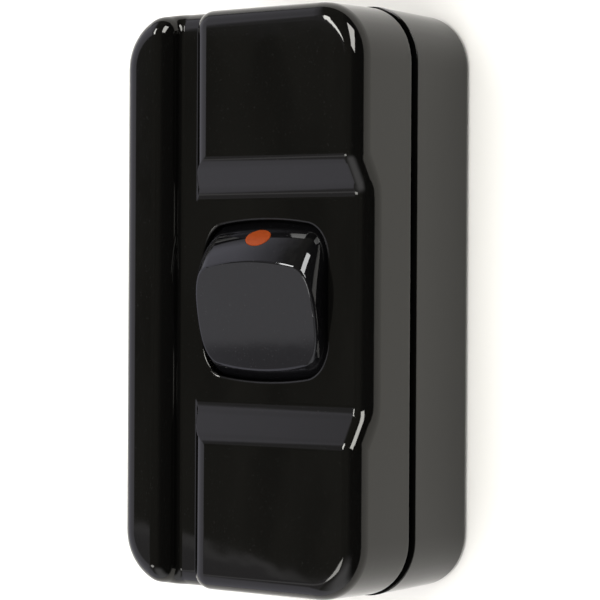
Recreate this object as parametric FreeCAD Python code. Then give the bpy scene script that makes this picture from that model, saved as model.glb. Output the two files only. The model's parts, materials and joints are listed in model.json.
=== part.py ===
import FreeCAD, Part
import math
import os

# Inline cord switch, lying on its back, in millimetres.
# X runs across the case, Y along it and Z out of the front face.
# The origin is the centre of the back face, and the rocker is switched on.

V = FreeCAD.Vector
ALONG_X = V(1, 0, 0)
ALONG_Y = V(0, 1, 0)
ALONG_Z = V(0, 0, 1)

# Case
case_length = 76.3
case_width = 39.3
case_depth = 25.1       # back face to the top of the pads
corner_r = 7.6
wall = 2.0
floor_t = 2.2
face_t = 2.2
base_draft = 0.84       # degrees
cover_draft = 1.2       # degrees
back_edge_r = 0.75
front_edge_r = 2.4

# Seam between the halves
seam_z = 12.7           # top of the base's outer wall
seam_gap = 0.7          # open groove seen from outside
cover_step = 0.2        # the cover's outline lies this far inside the base's
hem_r = 0.6             # rounding of the cover's lower edge
lip_t = 0.9             # tongue on the base that enters the cover
lip_h = 2.0
lip_clear = 0.12

# Relief of the front face
recess = 2.5            # groove and valley below the rim and the pads
rim_w = 8.45            # left side of the case to the rim's wall
groove_w = 3.35         # rim's wall to the pads' walls
ramp_mid_y = 15.95
ramp_angle = 32.5       # degrees
ramp_r = 2.8            # this and relief_r stay larger than front_edge_r
relief_r = 2.8
ramp_foot_r = 3.4
wall_foot_r = 0.7
pocket_t = 2.4          # wall left round the pockets behind the pads

# Rocker
rocker_x = 2.7
pivot_drop = 7.5        # pivot below the valley
drum_r = 12.0           # rounded ends, centred on the pivot
crown_r = 55.0          # the ends bulge this much across the rocker
face_rise = 9.65        # flat face above the pivot
rocker_half = 9.7       # half width
shoulder_r = 3.1
face_edge_r = 0.45
rocker_wall = 1.6
skirt_rise = 2.0        # lower edge of the skirt above the pivot
tilt = 11.5             # degrees either side of level
opening_clear = 0.55    # radial gap to the opening
opening_side_clear = 0.25
opening_edge_r = 0.3
ear_r = 2.9
trunnion_r = 1.75
trunnion_length = 1.9
bearing_clear = 0.05
dot_half_w = 1.9
dot_half_h = 1.35
dot_angle = 54.0        # degrees from the flat face
dot_clear = 0.05
dot_t = 0.8
dot_proud = 0.05

# Plunger in the rocker's stem
plunger_r = 1.5
plunger_clear = 0.05
plunger_top = 1.0       # above the pivot
stem_r = 2.7
stem_drop = 2.6         # lower end of the stem below the pivot
spring_length = 4.4
spring_wire = 0.45      # side of its square section
spring_turns = 4

# Contacts
frame_floor_t = 2.0
strip_t = 0.8
tip_r = 1.3
tip_h = 0.7
tip_gap = 0.05          # left between the closed contacts
seesaw_t = 0.9
seesaw_w = 6.0
seesaw_arm = 9.0
seesaw_bend = 9.0       # degrees that each arm rises, and that the see-saw tilts each way
knife_r = 0.3
notch_clear = 0.1
plunger_gap = 0.1       # plunger to see-saw at mid travel
contact_y = 7.4
strip_w = 3.4
strip_reach = 2.5       # strip's end beyond the terminal screw
stop_w = 1.0
stop_y = 8.0

# Frame
frame_length = 22.8
cheek_t = 2.2
cheek_gap = 0.3         # rocker's side to the cheek
cheek_length = 12.0
cheek_rise = 3.0        # top of the cheek above the pivot
peg_r = 1.3
peg_clear = 0.05
peg_x = 8.0             # from the rocker's middle
peg_inset = 2.0         # end of the frame to the peg's middle

# Terminals
block_w = 6.5
block_length = 7.0
block_h = 8.0
block_to_clamp = 8.3    # terminal screw to the clamp's middle
block_foot = 0.7        # moulded pad below a terminal
pad_margin = 0.5        # terminal beyond its pad
tunnel_r = 1.7
slot_clear = 0.05
through_y = 9.6
through_w = 5.2
through_length = 14.0
through_h = 7.2
through_screw_pitch = 7.6
through_tunnel_h = 3.2  # tunnel's axis above the terminal's foot
cradle_t = 1.2
cradle_h = 3.0
screw_r = 1.5
screw_clear = 0.05
screw_head_r = 2.5
screw_head_h = 1.6
screw_slot_w = 0.7
screw_slot_depth = 0.8
terminal_screw_lift = 1.4   # head above the block while the terminal is open

# Cord entries and clamps
entry_r = 3.9
entry_flare = 0.9
collar_t = 1.9
collar_length = 4.6
clamp_inset = 10.7      # end of the case to the clamp's middle
clamp_screw_x = 8.7
clamp_w = 4.6
clamp_foot_t = 2.4
clamp_arch_r = 4.3
clamp_arch_t = 1.7
clamp_screw_length = 8.0
post_r = 2.5
post_h = 11.6
saddle_t = 2.2

# Screws that hold the case
boss_inset = 5.8        # from the side and the end of the case
boss_r = 2.9
boss_foot_r = 4.3
boss_foot_h = 5.0
case_screw_length = 15.0
case_head_r = 2.75
case_head_h = 1.9
counterbore_r = 3.1
counterbore_h = 2.6
insert_r = 2.1
insert_length = 6.0

# Sizes that follow from the ones above
far = 2 * case_length   # longer than anything that is cut
half_width = case_width / 2
half_length = case_length / 2
rim_wall_x = rim_w - half_width
pad_wall_x = rim_wall_x + groove_w
cover_z = seam_z + seam_gap
entry_z = seam_z + seam_gap / 2
valley_z = case_depth - recess
ceiling_z = valley_z - face_t
pivot = V(rocker_x, 0, valley_z - pivot_drop)
frame_floor_z = floor_t + frame_floor_t
fulcrum_z = frame_floor_z + strip_t + 2 * tip_h + tip_gap
plunger_tip_z = fulcrum_z + seesaw_t + plunger_gap
cheek_inner = rocker_half + cheek_gap
frame_half = cheek_inner + cheek_t
cheek_top_z = pivot.z + cheek_rise
peg_offset = V(peg_x, frame_length / 2 - peg_inset, 0)
block_z = floor_t + block_foot
clamp_y = half_length - clamp_inset
block_y = clamp_y - block_to_clamp
strip_end_y = block_y + strip_reach
through_x = (wall - half_width + rocker_x - frame_half) / 2
boss_x = half_width - boss_inset
boss_y = half_length - boss_inset
boss_places = (V(boss_x, boss_y, 0), V(-boss_x, -boss_y, 0))
post_places = [V(x, y, 0) for x in (-clamp_screw_x, clamp_screw_x) for y in (-clamp_y, clamp_y)]


def box(x0, x1, y0, y1, z0, z1):
    return Part.makeBox(x1 - x0, y1 - y0, z1 - z0, V(x0, y0, z0))


def centred_box(x, y, w, length, z0, z1):
    return box(x - w / 2, x + w / 2, y - length / 2, y + length / 2, z0, z1)


def rod(r, place, z0, z1):
    return Part.makeCylinder(r, z1 - z0, V(place.x, place.y, z0), ALONG_Z)


def rod_along_y(r, x, z, y0, y1):
    return Part.makeCylinder(r, y1 - y0, V(x, y0, z), ALONG_Y)


def join(first, others):
    return first.fuse(others).removeSplitter()


def middle(edge):
    return edge.valueAt((edge.FirstParameter + edge.LastParameter) / 2)


def level_edges(shape, z):
    limits = [(e, e.BoundBox) for e in shape.Edges]
    return [e for e, b in limits if abs(b.ZMin - z) < 1e-4 and abs(b.ZMax - z) < 1e-4]


def outline(width, length, r, z):
    """Rectangle with rounded corners, centred on the Z axis."""
    arcs = []
    for sx, sy, start in ((1, 1, 0), (-1, 1, 90), (-1, -1, 180), (1, -1, 270)):
        centre = V(sx * (width / 2 - r), sy * (length / 2 - r), z)
        arcs.append(Part.makeCircle(r, centre, ALONG_Z, start, start + 90))
    edges = []
    for arc, following in zip(arcs, arcs[1:] + arcs[:1]):
        edges += [arc, Part.makeLine(arc.Vertexes[-1].Point, following.Vertexes[0].Point)]
    return Part.Wire(edges)


def drafted(inset, z0, z1, draft):
    """Block with the case's outline that narrows from z0 to z1, drawn in by inset all round."""
    near = inset
    away = inset + abs(z1 - z0) * math.tan(math.radians(draft))
    wires = []
    for drawn_in, z in ((near, z0), (away, z1)):
        width = case_width - 2 * drawn_in
        length = case_length - 2 * drawn_in
        wires.append(outline(width, length, corner_r - drawn_in, z))
    return Part.makeLoft(wires, True, True)


def both_ends(shape):
    return [shape, shape.mirror(V(0, 0, 0), ALONG_Y)]


def ridge(x0, x1, wall_x):
    """Long block as high as the pads, its upper edge at wall_x rounded."""
    solid = box(x0, x1, -far, far, valley_z - recess, case_depth)
    crest = V(wall_x, 0, case_depth)
    return solid.makeFillet(relief_r, [e for e in solid.Edges if middle(e).distanceToPoint(crest) < 1e-4])


def pad():
    """Raised pad at the upper end, larger than the case, cut off by its ramp."""
    low = valley_z - recess
    slope = math.tan(math.radians(ramp_angle))
    crest_y = ramp_mid_y + recess / 2 / slope
    foot_y = crest_y - (case_depth - low) / slope
    corners = [
        V(-far, foot_y, low),
        V(-far, crest_y, case_depth),
        V(-far, far, case_depth),
        V(-far, far, low),
    ]
    solid = Part.Face(Part.makePolygon(corners + corners[:1])).extrude(V(2 * far, 0, 0))
    crest = V(0, crest_y, case_depth)
    solid = solid.makeFillet(ramp_r, [e for e in solid.Edges if middle(e).distanceToPoint(crest) < 1e-4])
    return solid.common(ridge(pad_wall_x, far, pad_wall_x))


def relief_feet(solid):
    level = level_edges(solid, valley_z)
    return [e for e in level if max(abs(middle(e).x), abs(middle(e).y)) < far - wall]


def front_relief():
    """Valley and groove between the rim and the pads, with rounded crests and feet."""
    block = box(-far, far, -far, far, cover_z, valley_z)
    solid = join(block, [ridge(-far, rim_wall_x, rim_wall_x)] + both_ends(pad())).Solids[0]
    ramp_feet = [e for e in relief_feet(solid) if e.BoundBox.XLength > e.BoundBox.YLength]
    solid = solid.makeFillet(ramp_foot_r, ramp_feet).Solids[0]
    wall_feet = [e for e in relief_feet(solid) if e.BoundBox.YLength > e.BoundBox.XLength]
    return solid.makeFillet(wall_foot_r, wall_feet).Solids[0]


def cover_outside():
    envelope = drafted(cover_step, cover_z, case_depth + recess, cover_draft)
    solid = front_relief().common(envelope).Solids[0]
    sides = [f for f in solid.Faces if f.BoundBox.ZMin < cover_z + 1e-4 and f.BoundBox.ZLength > recess]
    top_z = valley_z - front_edge_r
    crest = [e for f in sides for e in f.Edges if e.BoundBox.ZMin > top_z]
    solid = solid.makeFillet(front_edge_r, crest)
    return solid.makeFillet(hem_r, level_edges(solid, cover_z))


def drum(r, half, corner):
    """Barrel about the pivot axis, crowned across its ends, with flat sides and rounded shoulders."""
    crown_centre = V(0, 0, r - crown_r)
    reach = crown_r - corner
    centre_x = half - corner
    centre = crown_centre + V(centre_x, 0, math.sqrt(reach ** 2 - centre_x ** 2))
    outward = (centre - crown_centre).normalize()
    turn = math.atan2(outward.z, outward.x) / 2
    right = V(half, 0, 0)
    side_end = V(half, 0, centre.z)
    shoulder = centre + V(corner * math.cos(turn), 0, corner * math.sin(turn))
    crown_end = centre + outward * corner

    def flipped(p):
        return V(-p.x, 0, p.z)

    edges = [
        Part.makeLine(right, side_end),
        Part.Arc(side_end, shoulder, crown_end).toShape(),
        Part.Arc(crown_end, V(0, 0, r), flipped(crown_end)).toShape(),
        Part.Arc(flipped(crown_end), flipped(shoulder), flipped(side_end)).toShape(),
        Part.makeLine(flipped(side_end), flipped(right)),
        Part.makeLine(flipped(right), right),
    ]
    solid = Part.Face(Part.Wire(edges)).revolve(V(0, 0, 0), ALONG_X, 360)
    solid.translate(pivot)
    return solid


def opening():
    half = rocker_half + opening_side_clear
    return drum(drum_r + opening_clear, half, shoulder_r + opening_clear)


def entry_cut():
    """Cord entries through both ends, opened out at the outside."""
    start_y = half_length - cover_step - entry_flare
    mouth_y = half_length - cover_step
    end_y = half_length + wall
    mouth_r = entry_r + entry_flare
    corners = [
        V(0, clamp_y - saddle_t, 0),
        V(entry_r, clamp_y - saddle_t, 0),
        V(entry_r, start_y, 0),
        V(mouth_r, mouth_y, 0),
        V(mouth_r, end_y, 0),
        V(0, end_y, 0),
    ]
    solid = Part.Face(Part.makePolygon(corners + corners[:1])).revolve(V(0, 0, 0), ALONG_Y, 360)
    solid.translate(V(0, 0, entry_z))
    return both_ends(solid)


def collars():
    inner_y = half_length - wall - collar_length
    solid = rod_along_y(entry_r + collar_t, 0, entry_z, inner_y, half_length)
    return both_ends(solid)


def cover_cavity():
    inside = drafted(cover_step + wall, cover_z, ceiling_z, cover_draft)
    deep = drafted(cover_step + wall, cover_z, case_depth - face_t, cover_draft)
    pocket_x = pad_wall_x + pocket_t
    pocket_y = ramp_mid_y + pocket_t
    pockets = both_ends(box(pocket_x, far, pocket_y, far, cover_z, case_depth - face_t))
    return join(inside, [deep.common(p) for p in pockets])


def lip(extra):
    """Tongue that rises from the base, widened by extra where the cover is cut for it."""
    inner = wall
    outer = wall - lip_t - extra
    top_z = seam_z + lip_h + extra
    ring = drafted(outer, seam_z - wall, top_z, 0)
    return ring.cut(drafted(inner + extra, seam_z - wall, top_z, 0))


def front_cover():
    outside = cover_outside()
    solid = outside.cut(cover_cavity())
    inside = [c.common(outside) for c in collars()]
    filled = outside.fuse(cover_cavity())
    inside += [rod(boss_r, p, entry_z, case_depth).common(filled) for p in boss_places]
    for side in (-1, 1):
        rib_x = rocker_x + side * (cheek_inner + cheek_t / 2)
        inside.append(centred_box(rib_x, 0, cheek_t, cheek_length / 2, cheek_top_z, valley_z - face_t / 2))
    solid = join(solid, inside)
    tools = [opening(), lip(lip_clear)] + entry_cut()
    insert_top_z = entry_z + insert_length
    tools += [rod(insert_r + screw_clear, p, entry_z - wall, insert_top_z) for p in boss_places]
    solid = solid.cut(tools).Solids[0]
    rim_edges = level_edges(solid, valley_z)
    solid = solid.makeFillet(opening_edge_r, [e for e in rim_edges if abs(middle(e).y) < drum_r])
    return solid


def case_screw(place):
    under_head_z = counterbore_h
    shank = rod(screw_r, place, under_head_z, under_head_z + case_screw_length)
    head = rod(case_head_r, place, under_head_z - case_head_h, under_head_z)
    z = under_head_z - case_head_h
    slot = centred_box(place.x, place.y, far, screw_slot_w, z, z + screw_slot_depth)
    return join(shank, [head]).cut(slot)


def case_insert(place):
    sleeve = rod(insert_r, place, entry_z, entry_z + insert_length)
    return sleeve.cut(rod(screw_r + screw_clear, place, entry_z, entry_z + insert_length))


def base_outside():
    solid = drafted(0, seam_z, 0, base_draft)
    return solid.makeFillet(back_edge_r, level_edges(solid, 0))


def frame_pegs(r, z1):
    places = [pivot + V(s * peg_offset.x, s * peg_offset.y, 0) for s in (-1, 1)]
    return [rod(r, p, floor_t, z1) for p in places]


def terminal_pad(x, y, w, length):
    return centred_box(x, y, w - 2 * pad_margin, length - 2 * pad_margin, floor_t, block_z)


def terminal_cradles():
    pads = []
    for side in (-1, 1):
        y = side * block_y
        pads.append(terminal_pad(rocker_x, y, block_w, block_length))
        y = side * through_y
        pads.append(terminal_pad(through_x, y, through_w, through_length))
        for end in (-1, 1):
            end_y = y + end * (through_length + cradle_t) / 2
            pads.append(centred_box(through_x, end_y, through_w, cradle_t, floor_t, block_z + cradle_h))
    return pads


def cord_saddles():
    span = 2 * clamp_screw_x
    wall_solid = centred_box(0, clamp_y, span, saddle_t, floor_t, post_h)
    return both_ends(wall_solid) + [rod(post_r, p, floor_t, post_h) for p in post_places]


def rear_base():
    outside = base_outside()
    inside = drafted(wall, seam_z, floor_t, base_draft)
    solid = outside.cut(inside)
    bosses = [rod(boss_r, p, floor_t, entry_z) for p in boss_places]
    bosses += [rod(boss_foot_r, p, floor_t, boss_foot_h).common(outside) for p in boss_places]
    features = bosses + frame_pegs(peg_r, frame_floor_z) + terminal_cradles() + cord_saddles()
    features += [c.common(outside) for c in collars()] + [lip(0)]
    solid = join(solid, features)
    tools = entry_cut()
    tools += [rod(screw_r + 2 * screw_clear, p, 0, far) for p in boss_places]
    tools += [rod(counterbore_r, p, 0, counterbore_h) for p in boss_places]
    post_hole_z = post_h + clamp_foot_t - clamp_screw_length
    tools += [rod(screw_r + screw_clear, p, post_hole_z - wall, far) for p in post_places]
    return solid.cut(tools).Solids[0]


def tilted(shape, degrees):
    return shape.rotated(pivot, ALONG_X, degrees)


def dot_plug(extra, outer_r):
    """Oval inlay in the rocker's upper end, widened by extra where the rocker is cut for it."""
    oval = Part.Ellipse(V(0, 0, drum_r - dot_t), dot_half_w + extra, dot_half_h + extra).toShape()
    plug = Part.Face(Part.Wire(oval)).extrude(ALONG_Z * (2 * dot_t))
    plug.translate(pivot)
    return tilted(plug, -dot_angle).common(drum(outer_r, rocker_half, shoulder_r))


def rocker():
    barrel = drum(drum_r, rocker_half, shoulder_r)
    skirt_z = pivot.z + skirt_rise
    face_z = pivot.z + face_rise
    shell = barrel.common(box(-far, far, -far, far, skirt_z, face_z)).Solids[0]
    shell = shell.makeFillet(face_edge_r, level_edges(shell, face_z))
    hollow_w = 2 * (rocker_half - shoulder_r / 2 - rocker_wall / 2)
    hollow_r = drum_r - 2 * rocker_wall
    hollow_length = 2 * math.sqrt(hollow_r ** 2 - (face_rise - rocker_wall) ** 2)
    shell = shell.cut(centred_box(pivot.x, 0, hollow_w, hollow_length, skirt_z, face_z - rocker_wall))
    parts = [rod(stem_r, pivot, pivot.z - stem_drop, face_z - rocker_wall / 2)]
    for side in (-1, 1):
        outer = pivot + ALONG_X * (side * rocker_half)
        inner_x = rocker_x + side * (rocker_half - rocker_wall)
        x0, x1 = sorted((outer.x, inner_x))
        parts.append(Part.makeCylinder(ear_r, rocker_wall, V(x0, pivot.y, pivot.z), ALONG_X))
        ear_top_z = skirt_z + rocker_wall
        parts.append(box(x0, x1, -ear_r, ear_r, pivot.z, ear_top_z))
        parts.append(Part.makeCylinder(trunnion_r, trunnion_length, outer, ALONG_X * side))
    shell = join(shell, parts)
    spring_top_z = pivot.z + plunger_top + spring_length
    bore = rod(plunger_r + plunger_clear, pivot, pivot.z - stem_drop - wall, spring_top_z)
    shell = shell.cut([bore, dot_plug(dot_clear, drum_r + wall)])
    return tilted(shell.Solids[0], tilt)


def on_dot():
    return tilted(dot_plug(0, drum_r + dot_proud), tilt)


def plunger():
    ball_z = plunger_tip_z + plunger_r
    pin = rod(plunger_r, pivot, ball_z, pivot.z + plunger_top)
    nose = Part.makeSphere(plunger_r, V(pivot.x, pivot.y, ball_z))
    return tilted(join(pin, [nose]), tilt)


def plunger_spring():
    outer_r = plunger_r - plunger_clear
    inner_r = outer_r - spring_wire
    height = spring_length - spring_wire
    helix = Part.makeHelix(height / spring_turns, height, (inner_r + outer_r) / 2)
    half = spring_wire / 2
    corners = [V(inner_r, 0, -half), V(outer_r, 0, -half), V(outer_r, 0, half), V(inner_r, 0, half)]
    section = Part.makePolygon(corners + corners[:1])
    coil = Part.Wire(helix).makePipeShell([section], True, True)
    coil.translate(pivot + ALONG_Z * (plunger_top + half))
    return tilted(coil, tilt)


def seesaw_tilted(shape):
    """From level to switched on, with the upper arm down."""
    return shape.rotated(V(rocker_x, 0, fulcrum_z), ALONG_X, -seesaw_bend)


def contact_seesaw():
    bend = math.radians(seesaw_bend)
    rise = seesaw_arm * math.sin(bend)
    reach = seesaw_arm * math.cos(bend)
    z = fulcrum_z
    x0 = rocker_x - seesaw_w / 2
    corners = [
        V(x0, -reach, z + rise),
        V(x0, 0, z),
        V(x0, reach, z + rise),
        V(x0, reach, z + rise + seesaw_t),
        V(x0, 0, z + seesaw_t),
        V(x0, -reach, z + rise + seesaw_t),
    ]
    strip = Part.Face(Part.makePolygon(corners + corners[:1])).extrude(V(seesaw_w, 0, 0))
    notch = Part.makeCylinder(knife_r + notch_clear, far, V(-far / 2, 0, z), ALONG_X)
    return seesaw_tilted(strip.cut(notch))


def moving_contact_tip():
    place = V(rocker_x, contact_y, 0)
    return rod(tip_r, place, fulcrum_z - tip_h, fulcrum_z)


def fixed_contact_tip():
    place = V(rocker_x, contact_y, 0)
    return rod(tip_r, place, frame_floor_z + strip_t, frame_floor_z + strip_t + tip_h)


def fixed_contact_strip():
    start_y = contact_y - tip_r
    z = frame_floor_z
    return box(rocker_x - strip_w / 2, rocker_x + strip_w / 2, start_y, strip_end_y, z, z + strip_t)


def fulcrum_strip():
    z = frame_floor_z
    foot = box(rocker_x - strip_w / 2, rocker_x + strip_w / 2, -strip_end_y, knife_r, z, z + strip_t)
    half = seesaw_w / 2
    blade = box(rocker_x - half, rocker_x + half, -knife_r, knife_r, z, fulcrum_z)
    edge = Part.makeCylinder(knife_r, seesaw_w, V(rocker_x - half, 0, fulcrum_z), ALONG_X)
    return join(foot, [blade, edge])


def switch_frame():
    solid = box(rocker_x - frame_half, rocker_x + frame_half, -frame_length / 2, frame_length / 2,
                floor_t, frame_floor_z)
    parts = []
    for side in (-1, 1):
        cheek_x = rocker_x + side * (cheek_inner + cheek_t / 2)
        parts.append(centred_box(cheek_x, 0, cheek_t, cheek_length, floor_t, cheek_top_z))
        stop_x = rocker_x + side * (seesaw_w - stop_w) / 2
        parts.append(centred_box(stop_x, -stop_y, stop_w, stop_w, floor_t, fulcrum_z - tip_gap))
    solid = join(solid, parts)
    bearing = Part.makeCylinder(trunnion_r + bearing_clear, far, V(-far / 2, pivot.y, pivot.z), ALONG_X)
    return solid.cut([bearing] + frame_pegs(peg_r + peg_clear, frame_floor_z)).Solids[0]


def terminal_block(y):
    solid = centred_box(rocker_x, y, block_w, block_length, block_z, block_z + block_h)
    z = frame_floor_z
    half = strip_w / 2 + slot_clear
    slot = box(rocker_x - half, rocker_x + half, y - block_length, y + block_length,
               z - slot_clear, z + strip_t + slot_clear)
    tunnel = rod_along_y(tunnel_r, rocker_x, z + strip_t + tunnel_r, y - block_length, y + block_length)
    place = V(rocker_x, y, 0)
    thread = rod(screw_r + screw_clear, place, z + strip_t + tunnel_r, far)
    return solid.cut([slot, tunnel, thread])


def through_terminal(y):
    solid = centred_box(through_x, y, through_w, through_length, block_z, block_z + through_h)
    z = block_z + through_tunnel_h
    tools = [rod_along_y(tunnel_r, through_x, z, y - through_length, y + through_length)]
    for place in through_screw_places(y):
        tools.append(rod(screw_r + screw_clear, place, z, far))
    return solid.cut(tools)


def through_screw_places(y):
    return [V(through_x, y + s * through_screw_pitch / 2, 0) for s in (-1, 1)]


def slotted_screw(place, head_z, tip_z):
    """Cheese-head screw, its head resting at head_z and its shank reaching down to tip_z."""
    shank = rod(screw_r, place, tip_z, head_z)
    top_z = head_z + screw_head_h
    head = rod(screw_head_r, place, head_z, top_z)
    slot = centred_box(place.x, place.y, far, screw_slot_w, top_z - screw_slot_depth, top_z)
    return join(shank, [head]).cut(slot)


def active_terminal_screws():
    head_z = block_z + block_h + terminal_screw_lift
    tip_z = frame_floor_z + strip_t + 2 * tunnel_r
    return [slotted_screw(V(rocker_x, s * block_y, 0), head_z, tip_z) for s in (-1, 1)]


def through_terminal_screws(y):
    head_z = block_z + through_h + terminal_screw_lift
    tip_z = block_z + through_tunnel_h + tunnel_r
    return [slotted_screw(p, head_z, tip_z) for p in through_screw_places(y)]


def cord_clamp(y):
    """Bar with an arch over the cord and a rounded foot on each post."""
    z1 = post_h + clamp_foot_t
    places = [V(s * clamp_screw_x, y, 0) for s in (-1, 1)]
    bar = centred_box(0, y, 2 * clamp_screw_x, clamp_w, post_h, z1)
    parts = [rod(clamp_w / 2, p, post_h, z1) for p in places]
    arch_r = clamp_arch_r + clamp_arch_t
    arch = rod_along_y(arch_r, 0, entry_z, y - clamp_w / 2, y + clamp_w / 2)
    parts.append(arch.common(box(-far, far, -far, far, post_h, far)))
    solid = join(bar, parts)
    tools = [rod_along_y(clamp_arch_r, 0, entry_z, y - clamp_w, y + clamp_w)]
    tools += [rod(screw_r + 2 * screw_clear, p, 0, far) for p in places]
    return solid.cut(tools).Solids[0]


def cord_clamp_screws():
    head_z = post_h + clamp_foot_t
    return [slotted_screw(p, head_z, head_z - clamp_screw_length) for p in post_places]


def grouped(solids):
    return Part.makeCompound(solids)


nodes = {
    "front_cover": front_cover(),
    "rear_base": rear_base(),
    "case_screws": grouped([case_screw(p) for p in boss_places]),
    "case_inserts": grouped([case_insert(p) for p in boss_places]),
    "rocker": rocker(),
    "on_dot": on_dot(),
    "plunger": plunger(),
    "plunger_spring": plunger_spring(),
    "switch_frame": switch_frame(),
    "contact_seesaw": contact_seesaw(),
    "moving_contact_tip": moving_contact_tip(),
    "fixed_contact_strip": fixed_contact_strip(),
    "fixed_contact_tip": fixed_contact_tip(),
    "fulcrum_strip": fulcrum_strip(),
    "line_terminal_block": terminal_block(-block_y),
    "load_terminal_block": terminal_block(block_y),
    "active_terminal_screws": grouped(active_terminal_screws()),
    "neutral_terminal": through_terminal(-through_y),
    "neutral_terminal_screws": grouped(through_terminal_screws(-through_y)),
    "earth_terminal": through_terminal(through_y),
    "earth_terminal_screws": grouped(through_terminal_screws(through_y)),
    "upper_cord_clamp": cord_clamp(clamp_y),
    "lower_cord_clamp": cord_clamp(-clamp_y),
    "cord_clamp_screws": grouped(cord_clamp_screws()),
}

os.makedirs("parts", exist_ok=True)
for name, shape in nodes.items():
    shape.exportStep("parts/" + name + ".step")
    print(name, "valid" if shape.isValid() else "not valid", len(shape.Solids), "solids")
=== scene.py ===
import json
import bpy
import numpy as np
from mathutils import Matrix, Vector


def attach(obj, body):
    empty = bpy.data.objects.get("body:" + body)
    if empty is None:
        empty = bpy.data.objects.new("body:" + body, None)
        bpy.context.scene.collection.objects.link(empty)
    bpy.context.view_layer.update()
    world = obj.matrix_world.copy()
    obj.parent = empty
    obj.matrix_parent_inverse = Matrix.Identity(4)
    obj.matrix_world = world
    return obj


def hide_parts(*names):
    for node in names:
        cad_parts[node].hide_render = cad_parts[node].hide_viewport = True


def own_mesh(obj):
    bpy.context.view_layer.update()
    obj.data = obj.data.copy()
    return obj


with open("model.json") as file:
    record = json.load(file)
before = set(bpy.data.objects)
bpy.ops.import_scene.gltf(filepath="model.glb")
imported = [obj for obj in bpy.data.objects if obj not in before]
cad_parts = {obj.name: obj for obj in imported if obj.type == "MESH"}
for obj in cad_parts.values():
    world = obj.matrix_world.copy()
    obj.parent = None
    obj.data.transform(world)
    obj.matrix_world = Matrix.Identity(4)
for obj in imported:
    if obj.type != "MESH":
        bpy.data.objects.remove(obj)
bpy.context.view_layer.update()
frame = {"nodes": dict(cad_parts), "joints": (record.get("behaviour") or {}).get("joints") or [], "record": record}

scene = bpy.context.scene
nodes = frame["nodes"]
print("frame:", len(nodes), "nodes")


# shader helpers

def addNode(tree, kind, values=None, **settings):
    node = tree.nodes.new(kind)
    for name, value in settings.items():
        setattr(node, name, value)
    for name, value in (values or {}).items():
        node.inputs[name].default_value = value
    return node


def feed(tree, value, socket):
    # value is another node's output, a number, or a colour without its alpha
    if isinstance(value, bpy.types.NodeSocket):
        tree.links.new(value, socket)
    elif isinstance(value, tuple):
        socket.default_value = (*value, 1.0)
    else:
        socket.default_value = value


def newGroup(name, inputs, outputs):
    group = bpy.data.node_groups.new(name, "ShaderNodeTree")
    for label, start in inputs.items():
        socket = group.interface.new_socket(name=label, in_out="INPUT", socket_type="NodeSocketFloat")
        socket.default_value = start
    for label in outputs:
        group.interface.new_socket(name=label, in_out="OUTPUT", socket_type="NodeSocketFloat")
    return group, group.nodes.new("NodeGroupInput"), group.nodes.new("NodeGroupOutput")


def newMaterial(name):
    material = bpy.data.materials.new(name)
    material.use_nodes = True
    tree = material.node_tree
    return material, tree, tree.nodes["Principled BSDF"]


def mathNode(tree, operation, first, second):
    node = addNode(tree, "ShaderNodeMath", operation=operation)
    feed(tree, first, node.inputs[0])
    feed(tree, second, node.inputs[1])
    return node.outputs[0]


def product(tree, first, *others):
    for other in others:
        first = mathNode(tree, "MULTIPLY", first, other)
    return first


def total(tree, first, *others):
    for other in others:
        first = mathNode(tree, "ADD", first, other)
    return first


def spreadAbout(tree, value, amount):
    # a noise value moved to swing about nought, times amount
    return product(tree, mathNode(tree, "SUBTRACT", value, 0.5), amount)


def mixColour(tree, factor, first, second):
    node = addNode(tree, "ShaderNodeMix", data_type="RGBA")
    tree.links.new(factor, node.inputs["Factor"])
    feed(tree, first, node.inputs["A"])
    feed(tree, second, node.inputs["B"])
    return node.outputs["Result"]


def noise(tree, scale, detail):
    place = addNode(tree, "ShaderNodeTexCoord")
    node = addNode(tree, "ShaderNodeTexNoise", {"Detail": detail})
    tree.links.new(place.outputs["Object"], node.inputs["Vector"])
    feed(tree, scale, node.inputs["Scale"])
    return node.outputs["Fac"]


def addBump(tree, shader, height, distance):
    bump = addNode(tree, "ShaderNodeBump", {"Strength": 1.0, "Distance": distance})
    tree.links.new(height, bump.inputs["Height"])
    tree.links.new(bump.outputs["Normal"], shader.inputs["Normal"])
    return bump


# moulded skin: broad flow waves with ripples on them, fine mould grain and a little settled dust
skinLook = {
    "start": {
        "Wave Scale": 60.0, "Ripple Scale": 260.0, "Ripple Height": 0.1,
        "Grain Scale": 3000.0, "Grain Height": 0.02,
        "Roughness": 0.18, "Roughness Spread": 0.08, "Dust": 0.3,
    },
    "waveDetail": 1.0, "grainDetail": 3.0,
    "cloudScale": 180.0, "cloudDetail": 5.0,
    "fleckScale": 4200.0, "fleckDetail": 1.0, "fleckFrom": 0.68, "fleckTo": 0.80,
    "dustRoughness": 0.4,
}


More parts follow.
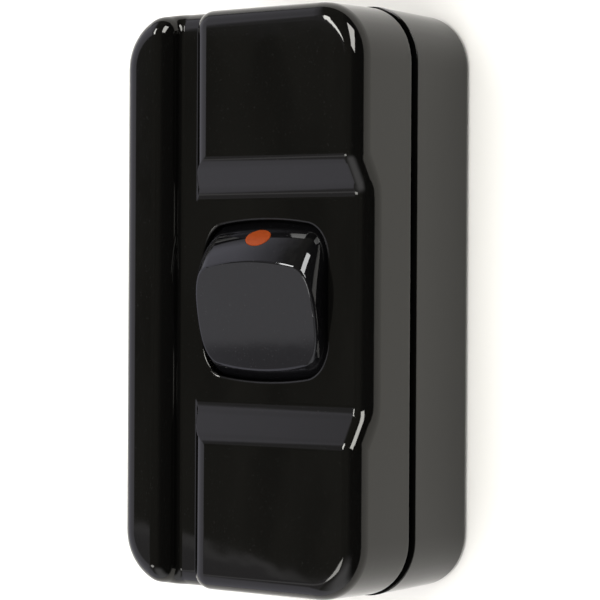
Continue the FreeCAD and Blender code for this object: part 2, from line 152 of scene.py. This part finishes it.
def mouldedSkin(look):
    group, given, out = newGroup("mouldedSkin", look["start"], ["Height", "Roughness", "Dust"])
    value = given.outputs
    wave = noise(group, value["Wave Scale"], look["waveDetail"])
    ripple = noise(group, value["Ripple Scale"], look["waveDetail"])
    grain = noise(group, value["Grain Scale"], look["grainDetail"])
    ripplePart = product(group, ripple, value["Ripple Height"])
    grainPart = product(group, grain, value["Grain Height"])
    group.links.new(total(group, wave, ripplePart, grainPart), out.inputs["Height"])
    cloud = noise(group, look["cloudScale"], look["cloudDetail"])
    fleck = noise(group, look["fleckScale"], look["fleckDetail"])
    limits = {"From Min": look["fleckFrom"], "From Max": look["fleckTo"]}
    sharpFleck = addNode(group, "ShaderNodeMapRange", limits)
    group.links.new(fleck, sharpFleck.inputs["Value"])
    dust = product(group, cloud, value["Dust"], sharpFleck.outputs["Result"])
    group.links.new(dust, out.inputs["Dust"])
    spread = spreadAbout(group, cloud, value["Roughness Spread"])
    dull = product(group, dust, look["dustRoughness"])
    group.links.new(total(group, value["Roughness"], spread, dull), out.inputs["Roughness"])
    return group


skinGroup = mouldedSkin(skinLook)


def mouldedPlastic(name, look):
    material, tree, shader = newMaterial(name)
    shader.inputs["IOR"].default_value = look["ior"]
    skin = addNode(tree, "ShaderNodeGroup", look["skin"], node_tree=skinGroup)
    colour = mixColour(tree, skin.outputs["Dust"], look["colour"], look["dustColour"])
    tree.links.new(colour, shader.inputs["Base Color"])
    tree.links.new(skin.outputs["Roughness"], shader.inputs["Roughness"])
    bump = addBump(tree, shader, skin.outputs["Height"], look["waveHeight"])
    if "edgeRadius" in look:
        radius = {"Radius": look["edgeRadius"]}
        softEdge = addNode(tree, "ShaderNodeBevel", radius, samples=look["edgeSamples"])
        tree.links.new(softEdge.outputs["Normal"], bump.inputs["Normal"])
    if "tint" in look:
        shader.inputs["Specular Tint"].default_value = (*look["tint"], 1.0)
    return material


# black shell plastic of the two halves, with slightly softened sharp edges
caseLook = {
    "colour": (0.0019, 0.0018, 0.0016), "dustColour": (0.018, 0.018, 0.016),
    "ior": 1.392, "tint": (1.0, 0.985, 0.93), "waveHeight": 0.000014,
    "edgeRadius": 0.00025, "edgeSamples": 8,
    "skin": {
        "Wave Scale": 55.0, "Ripple Scale": 230.0, "Ripple Height": 0.5,
        "Grain Scale": 2800.0, "Grain Height": 0.006,
        "Roughness": 0.03, "Roughness Spread": 0.04, "Dust": 0.6,
    },
}
rockerLook = {
    "colour": (0.0032, 0.0031, 0.0034), "dustColour": (0.08, 0.08, 0.08),
    "ior": 1.415, "waveHeight": 0.000005,
    "skin": {
        "Wave Scale": 80.0, "Ripple Scale": 320.0, "Ripple Height": 0.25,
        "Grain Scale": 3200.0, "Grain Height": 0.03,
        "Roughness": 0.035, "Roughness Spread": 0.03, "Dust": 0.35,
    },
}
dotLook = {
    "colour": (0.30, 0.044, 0.0016), "dustColour": (0.48, 0.16, 0.04),
    "ior": 1.33, "waveHeight": 0.000004,
    "skin": {
        "Wave Scale": 300.0, "Grain Scale": 4200.0, "Grain Height": 0.2,
        "Roughness": 0.32, "Roughness Spread": 0.10, "Dust": 0.6,
    },
}
frameLook = {
    "colour": (0.74, 0.71, 0.62), "dustColour": (0.60, 0.56, 0.48),
    "ior": 1.46, "waveHeight": 0.00001,
    "skin": {
        "Wave Scale": 120.0, "Grain Scale": 2400.0, "Grain Height": 0.15,
        "Roughness": 0.42, "Roughness Spread": 0.12, "Dust": 0.3,
    },
}
clampLook = {
    "colour": (0.035, 0.035, 0.036), "dustColour": (0.12, 0.12, 0.11),
    "ior": 1.46, "waveHeight": 0.00001,
    "skin": {
        "Wave Scale": 120.0, "Grain Scale": 2000.0, "Grain Height": 0.3,
        "Roughness": 0.5, "Roughness Spread": 0.12, "Dust": 0.4,
    },
}


# drawn metal: streaks along one axis over a cloudy tarnish
metalLook = {
    "start": {"Streak Scale": 900.0, "Roughness": 0.3, "Roughness Spread": 0.15, "Tarnish": 0.5},
    "stretch": (1.0, 0.08, 1.0), "streakDetail": 3.0,
    "cloudScale": 350.0, "cloudDetail": 4.0,
}


def drawnMetal(look):
    group, given, out = newGroup("drawnMetal", look["start"], ["Height", "Roughness", "Tarnish"])
    value = given.outputs
    place = addNode(group, "ShaderNodeTexCoord")
    stretch = addNode(group, "ShaderNodeMapping", {"Scale": look["stretch"]})
    group.links.new(place.outputs["Object"], stretch.inputs["Vector"])
    streak = addNode(group, "ShaderNodeTexNoise", {"Detail": look["streakDetail"]})
    group.links.new(stretch.outputs["Vector"], streak.inputs["Vector"])
    group.links.new(value["Streak Scale"], streak.inputs["Scale"])
    group.links.new(streak.outputs["Fac"], out.inputs["Height"])
    cloud = noise(group, look["cloudScale"], look["cloudDetail"])
    group.links.new(product(group, cloud, value["Tarnish"]), out.inputs["Tarnish"])
    spread = spreadAbout(group, streak.outputs["Fac"], value["Roughness Spread"])
    group.links.new(total(group, value["Roughness"], spread), out.inputs["Roughness"])
    return group


metalGroup = drawnMetal(metalLook)


def plainMetal(name, look):
    material, tree, shader = newMaterial(name)
    shader.inputs["Metallic"].default_value = 1.0
    metal = addNode(tree, "ShaderNodeGroup", look["metal"], node_tree=metalGroup)
    colour = mixColour(tree, metal.outputs["Tarnish"], look["colour"], look["tarnish"])
    tree.links.new(colour, shader.inputs["Base Color"])
    tree.links.new(metal.outputs["Roughness"], shader.inputs["Roughness"])
    addBump(tree, shader, metal.outputs["Height"], look["streakHeight"])
    return material


brassLook = {
    "colour": (0.80, 0.58, 0.26), "tarnish": (0.46, 0.29, 0.12), "streakHeight": 0.000004,
    "metal": {"Streak Scale": 1400.0, "Roughness": 0.30, "Roughness Spread": 0.18, "Tarnish": 0.5},
}
silverLook = {
    "colour": (0.88, 0.87, 0.84), "tarnish": (0.55, 0.52, 0.46), "streakHeight": 0.000002,
    "metal": {"Streak Scale": 2500.0, "Roughness": 0.25, "Roughness Spread": 0.10, "Tarnish": 0.35},
}
steelLook = {
    "colour": (0.66, 0.66, 0.64), "tarnish": (0.42, 0.40, 0.36), "streakHeight": 0.000004,
    "metal": {"Streak Scale": 2000.0, "Roughness": 0.32, "Roughness Spread": 0.16, "Tarnish": 0.45},
}

finishes = {
    "case_plastic": mouldedPlastic("blackShell", caseLook),
    "rocker_plastic": mouldedPlastic("blackRocker", rockerLook),
    "dot_plastic": mouldedPlastic("orangeDot", dotLook),
    "frame_plastic": mouldedPlastic("naturalMoulding", frameLook),
    "clamp_plastic": mouldedPlastic("clampMoulding", clampLook),
    "brass": plainMetal("plainBrass", brassLook),
    "silver": plainMetal("contactSilver", silverLook),
    "plated_steel": plainMetal("platedSteel", steelLook),
}
for part in frame["record"]["subparts"]:
    mesh = nodes[part["node"]].data
    mesh.materials.clear()
    mesh.materials.append(finishes[part["material_slot"]])
print("finishes:", len(finishes))


def gridMesh(name, points, tube=False):
    # points is rows x columns x 3 and each cell becomes one four-sided face;
    # a tube is closed round its rows and at both ends
    rows, columns = points.shape[:2]
    index = np.arange(rows * columns).reshape(rows, columns)
    around = np.concatenate([index, index[:, :1]], axis=1) if tube else index
    corners = [around[:-1, :-1], around[:-1, 1:], around[1:, 1:], around[1:, :-1]]
    quads = np.stack(corners, axis=-1).reshape(-1, 4)
    ends = [index[0, ::-1].tolist(), index[-1].tolist()] if tube else []
    mesh = bpy.data.meshes.new(name)
    mesh.from_pydata(points.reshape(-1, 3).tolist(), [], quads.tolist() + ends)
    mesh.update()
    thing = bpy.data.objects.new(name, mesh)
    scene.collection.objects.link(thing)
    return thing


# spring behind the plunger: the pin squeezes it, so a round wire coil stands in for the plain one
springLook = {
    "node": "plunger_spring", "joint": "plunger_slide", "body": "rocker",
    "wire": 0.00045, "turns": 5.0, "endTurns": 1.0, "endPitch": 0.00052,
    "steps": 240, "sides": 12,
}


def roundSpring(look):
    joint = next(j for j in frame["joints"] if j["name"] == look["joint"])
    axis = np.array(joint["axis"])
    across = np.array([1.0, 0.0, 0.0])
    side = np.cross(axis, across)
    coil = nodes[look["node"]].data
    places = np.empty(len(coil.vertices) * 3)
    coil.vertices.foreach_get("co", places)
    places = places.reshape(-1, 3) @ np.stack([across, side, axis], axis=1)
    low, high = places.min(axis=0), places.max(axis=0)
    centre = (low + high) / 2
    wireRadius = look["wire"] / 2
    radius = (high[0] - low[0]) / 2 - wireRadius
    rise = high[2] - low[2] - look["wire"]
    # a round wire carried along a helix: every turn climbs by endPitch,
    # and the turns between the end turns share the rest of the rise
    turn = np.linspace(0, look["turns"], look["steps"] + 1)
    opened = np.clip(np.minimum(turn, look["turns"] - turn) / look["endTurns"], 0, 1)
    opened = opened * opened * (3 - 2 * opened)
    share = np.concatenate([[0], np.cumsum((opened[1:] + opened[:-1]) / 2)])
    spare = rise - look["endPitch"] * look["turns"]
    height = low[2] + wireRadius + look["endPitch"] * turn + spare * share / share[-1]
    angle = 2 * np.pi * turn
    outward = np.cos(angle)[:, None] * across + np.sin(angle)[:, None] * side
    middle = centre[0] * across + centre[1] * side + height[:, None] * axis + radius * outward
    forward = np.gradient(middle, axis=0)
    forward /= np.linalg.norm(forward, axis=1)[:, None]
    upward = np.cross(forward, outward)
    ring = np.linspace(0, 2 * np.pi, look["sides"], endpoint=False)[None, :, None]
    wire = wireRadius * (np.cos(ring) * outward[:, None] + np.sin(ring) * upward[:, None])
    spring = gridMesh("roundSpring", middle[:, None] + wire, tube=True)
    spring.data.polygons.foreach_set("use_smooth", np.ones(len(spring.data.polygons), dtype=bool))
    spring.data.materials.append(finishes["plated_steel"])
    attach(spring, look["body"])
    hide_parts(look["node"])
    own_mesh(spring)


roundSpring(springLook)
print("spring:", springLook["turns"], "turns")


# pale floor: a flat grid, z the same everywhere
floorLook = {
    "half": 3.0, "cells": 8, "z": -0.0002,
    "colour": (0.90, 0.88, 0.825), "mottle": (0.88, 0.86, 0.805), "roughness": 0.8,
    "mottleScale": 25.0, "mottleDetail": 3.0,
}


def paleFloor(look):
    line = np.linspace(-look["half"], look["half"], look["cells"] + 1)
    x, y = np.meshgrid(line, line)
    floor = gridMesh("paleFloor", np.stack([x, y, np.full_like(x, look["z"])], axis=-1))
    material, tree, shader = newMaterial("paleFloor")
    shader.inputs["Roughness"].default_value = look["roughness"]
    mottle = noise(tree, look["mottleScale"], look["mottleDetail"])
    tree.links.new(mixColour(tree, mottle, look["colour"], look["mottle"]), shader.inputs["Base Color"])
    floor.data.materials.append(material)
    return floor


paleFloor(floorLook)
print("floor:", floorLook["half"] * 2, "m wide")


# studio light, all of it by direction in the object's frame: a pale tent with a dark cloudy room
# behind its opening, a lower wall with a brighter rim and panel at the left, a card and a pale front
skyLook = {
    "pale": (1.147, 1.134, 1.31), "leftEdge": -0.52, "leftSoft": 0.12,
    "room": {
        "dark": (0.328, 0.321, 0.284), "black": (0.0, 0.0, 0.0),
        "cloudScale": (70.0, 9.0, 9.0), "cloudDetail": 4.0, "cloud": 0.95,
        "rightDark": (0.038, 0.038, 0.038), "rightFrom": -0.05, "rightTo": 0.45,
    },
    "glow": {"share": 0.25, "from": 0.099, "to": 0.114},
    "wall": {
        "colour": (0.479, 0.466, 0.504), "rim": (0.806, 0.794, 0.832),
        "across": (0.39, 1.0, 0.0), "edge": -0.346, "soft": 0.0025, "rimWide": 0.004,
    },
    "panel": {
        "colour": (1.159, 1.147, 1.21), "across": (0.27, 1.0, 0.0),
        "from": -0.4965, "to": -0.4254, "soft": 0.002,
    },
    "opening": {"direction": (0.585, -0.05, 0.81), "from": 0.185, "to": 0.25},
    "upper": {"from": 0.40, "to": 0.60, "left": -0.68, "right": -0.42, "low": 0.0, "high": 0.22},
    "card": {"colour": (1.449, 1.436, 1.386), "top": 0.0, "soft": 0.05, "from": 0.2, "to": 0.5},
    "front": {
        "colour": (1.575, 1.575, 1.663), "from": -0.62, "to": -0.16,
        "left": -0.50, "right": 0.0, "fadeFrom": 0.2, "fadeTo": 0.65,
    },
}


def rising(tree, value, low, high):
    limits = {"From Min": low, "From Max": high}
    node = addNode(tree, "ShaderNodeMapRange", limits, interpolation_type="SMOOTHSTEP")
    tree.links.new(value, node.inputs["Value"])
    return node.outputs["Result"]


def falling(tree, value, low, high):
    return mathNode(tree, "SUBTRACT", 1.0, rising(tree, value, low, high))


def alongAxis(tree, direction, axis):
    node = addNode(tree, "ShaderNodeVectorMath", operation="DOT_PRODUCT")
    node.inputs[1].default_value = axis
    tree.links.new(direction, node.inputs[0])
    return node.outputs["Value"]


def darkRoom(tree, direction, x, look):
    # streaky clouds, so that flat faces are mottled, and darker to the right
    streak = addNode(tree, "ShaderNodeMapping", {"Scale": look["cloudScale"]})
    tree.links.new(direction, streak.inputs["Vector"])
    cloud = addNode(tree, "ShaderNodeTexNoise", {"Scale": 1.0, "Detail": look["cloudDetail"]})
    tree.links.new(streak.outputs["Vector"], cloud.inputs["Vector"])
    faint = product(tree, cloud.outputs["Fac"], look["cloud"])
    room = mixColour(tree, faint, look["dark"], look["black"])
    return mixColour(tree, rising(tree, x, look["rightFrom"], look["rightTo"]), room, look["rightDark"])


def lowerWall(tree, direction, left, under, look):
    slant = alongAxis(tree, direction, look["across"])
    for colour, edge in ((look["rim"], look["edge"]), (look["colour"], look["edge"] - look["rimWide"])):
        below = falling(tree, slant, edge - look["soft"], edge)
        under = mixColour(tree, product(tree, below, left), under, colour)
    return under


def brightPanel(tree, direction, left, under, look):
    slant = alongAxis(tree, direction, look["across"])
    begun = rising(tree, slant, look["from"] - look["soft"], look["from"])
    notEnded = falling(tree, slant, look["to"], look["to"] + look["soft"])
    return mixColour(tree, product(tree, begun, notEnded, left), under, look["colour"])


def tentMask(tree, direction, x, y, z, opening, upper):
    # all but the opening, and but the upper part where it lies low or to the right
    along = alongAxis(tree, direction, opening["direction"])
    tent = falling(tree, along, opening["from"], opening["to"])
    aside = rising(tree, x, upper["left"], upper["right"])
    down = falling(tree, z, upper["low"], upper["high"])
    high = rising(tree, y, upper["from"], upper["to"])
    shaded = product(tree, high, mathNode(tree, "MAXIMUM", aside, down))
    return product(tree, tent, mathNode(tree, "SUBTRACT", 1.0, shaded))


def cardMask(tree, x, z, look):
    low = falling(tree, z, look["top"], look["top"] + look["soft"])
    return product(tree, low, rising(tree, x, look["from"], look["to"]))


def frontMask(tree, x, y, look):
    ahead = falling(tree, y, look["from"], look["to"])
    notLeft = rising(tree, x, look["left"], look["right"])
    return product(tree, ahead, notLeft, falling(tree, x, look["fadeFrom"], look["fadeTo"]))


def studioSky(look):
    world = bpy.data.worlds.new("studioSky")
    world.use_nodes = True
    scene.world = world
    tree = world.node_tree
    direction = addNode(tree, "ShaderNodeTexCoord").outputs["Generated"]
    split = addNode(tree, "ShaderNodeSeparateXYZ")
    tree.links.new(direction, split.inputs["Vector"])
    x, y, z = split.outputs
    left = falling(tree, x, look["leftEdge"], look["leftEdge"] + look["leftSoft"])
    colour = darkRoom(tree, direction, x, look["room"])
    glow = product(tree, rising(tree, y, look["glow"]["from"], look["glow"]["to"]), left)
    colour = mixColour(tree, product(tree, glow, look["glow"]["share"]), colour, look["pale"])
    colour = lowerWall(tree, direction, left, colour, look["wall"])
    colour = brightPanel(tree, direction, left, colour, look["panel"])
    tent = tentMask(tree, direction, x, y, z, look["opening"], look["upper"])
    colour = mixColour(tree, tent, colour, look["pale"])
    colour = mixColour(tree, cardMask(tree, x, z, look["card"]), colour, look["card"]["colour"])
    colour = mixColour(tree, frontMask(tree, x, y, look["front"]), colour, look["front"]["colour"])
    tree.links.new(colour, tree.nodes["Background"].inputs["Color"])


# soft lights: the boxes are only mirrored in gloss, and the overhead one only lights
lightLooks = {
    "boxRight": {
        "direction": (0.43, 0.55, 0.70), "upward": (0, 0.7, -0.7), "distance": 3.0,
        "width": 1.0, "height": 2.4, "power": 120.0, "lit": False, "mirrored": True,
    },
    "boxLeft": {
        "direction": (-0.46, 0.40, 0.86), "upward": (0, 1, 0), "distance": 3.0,
        "width": 0.34, "height": 1.36, "power": 33.0, "lit": False, "mirrored": True,
    },
    "boxLower": {
        "direction": (-0.38, -0.26, 0.89), "upward": (0, 1, 0), "distance": 3.0,
        "width": 0.66, "height": 0.4, "power": 7.5, "lit": False, "mirrored": True,
    },
    "overhead": {
        "direction": (0.10, 0.0, 1.0), "upward": (0, 1, 0), "distance": 1.2,
        "width": 1.4, "height": 1.4, "power": 24.0, "lit": True, "mirrored": False,
    },
}


def softLight(name, look):
    light = bpy.data.lights.new(name, "AREA")
    light.shape = "RECTANGLE"
    light.size = look["width"]
    light.size_y = look["height"]
    light.energy = look["power"]
    lamp = bpy.data.objects.new(name, light)
    toward = Vector(look["direction"]).normalized()
    across = Vector(look["upward"]).cross(toward).normalized()
    axes = Matrix([across, toward.cross(across), toward]).transposed()
    lamp.matrix_world = Matrix.Translation(toward * look["distance"]) @ axes.to_4x4()
    lamp.visible_glossy = look["mirrored"]
    lamp.visible_diffuse = look["lit"]
    scene.collection.objects.link(lamp)


studioSky(skyLook)
for name, look in lightLooks.items():
    softLight(name, look)
print("lights:", len(lightLooks))


# camera as in the photograph: its place, and the axes of its picture, in the object's frame
cameraLook = {
    "place": (0.18958, 0.00218, 0.27099),
    "right": (0.80794, 0.00553, -0.58924),
    "up": (-0.00836, 0.99996, -0.00209),
    "back": (0.58921, 0.00661, 0.80795),
    "lens": 145.03, "sensor": 36.0, "nearest": 0.01,
}


def photoCamera(look):
    data = bpy.data.cameras.new("photoCamera")
    data.lens = look["lens"]
    data.sensor_width = look["sensor"]
    data.clip_start = look["nearest"]
    camera = bpy.data.objects.new("photoCamera", data)
    axes = Matrix([look["right"], look["up"], look["back"]]).transposed()
    camera.matrix_world = Matrix.Translation(look["place"]) @ axes.to_4x4()
    scene.collection.objects.link(camera)
    scene.camera = camera


photoCamera(cameraLook)
scene.view_settings.view_transform = "Standard"
scene.view_settings.look = "None"
print("camera set")
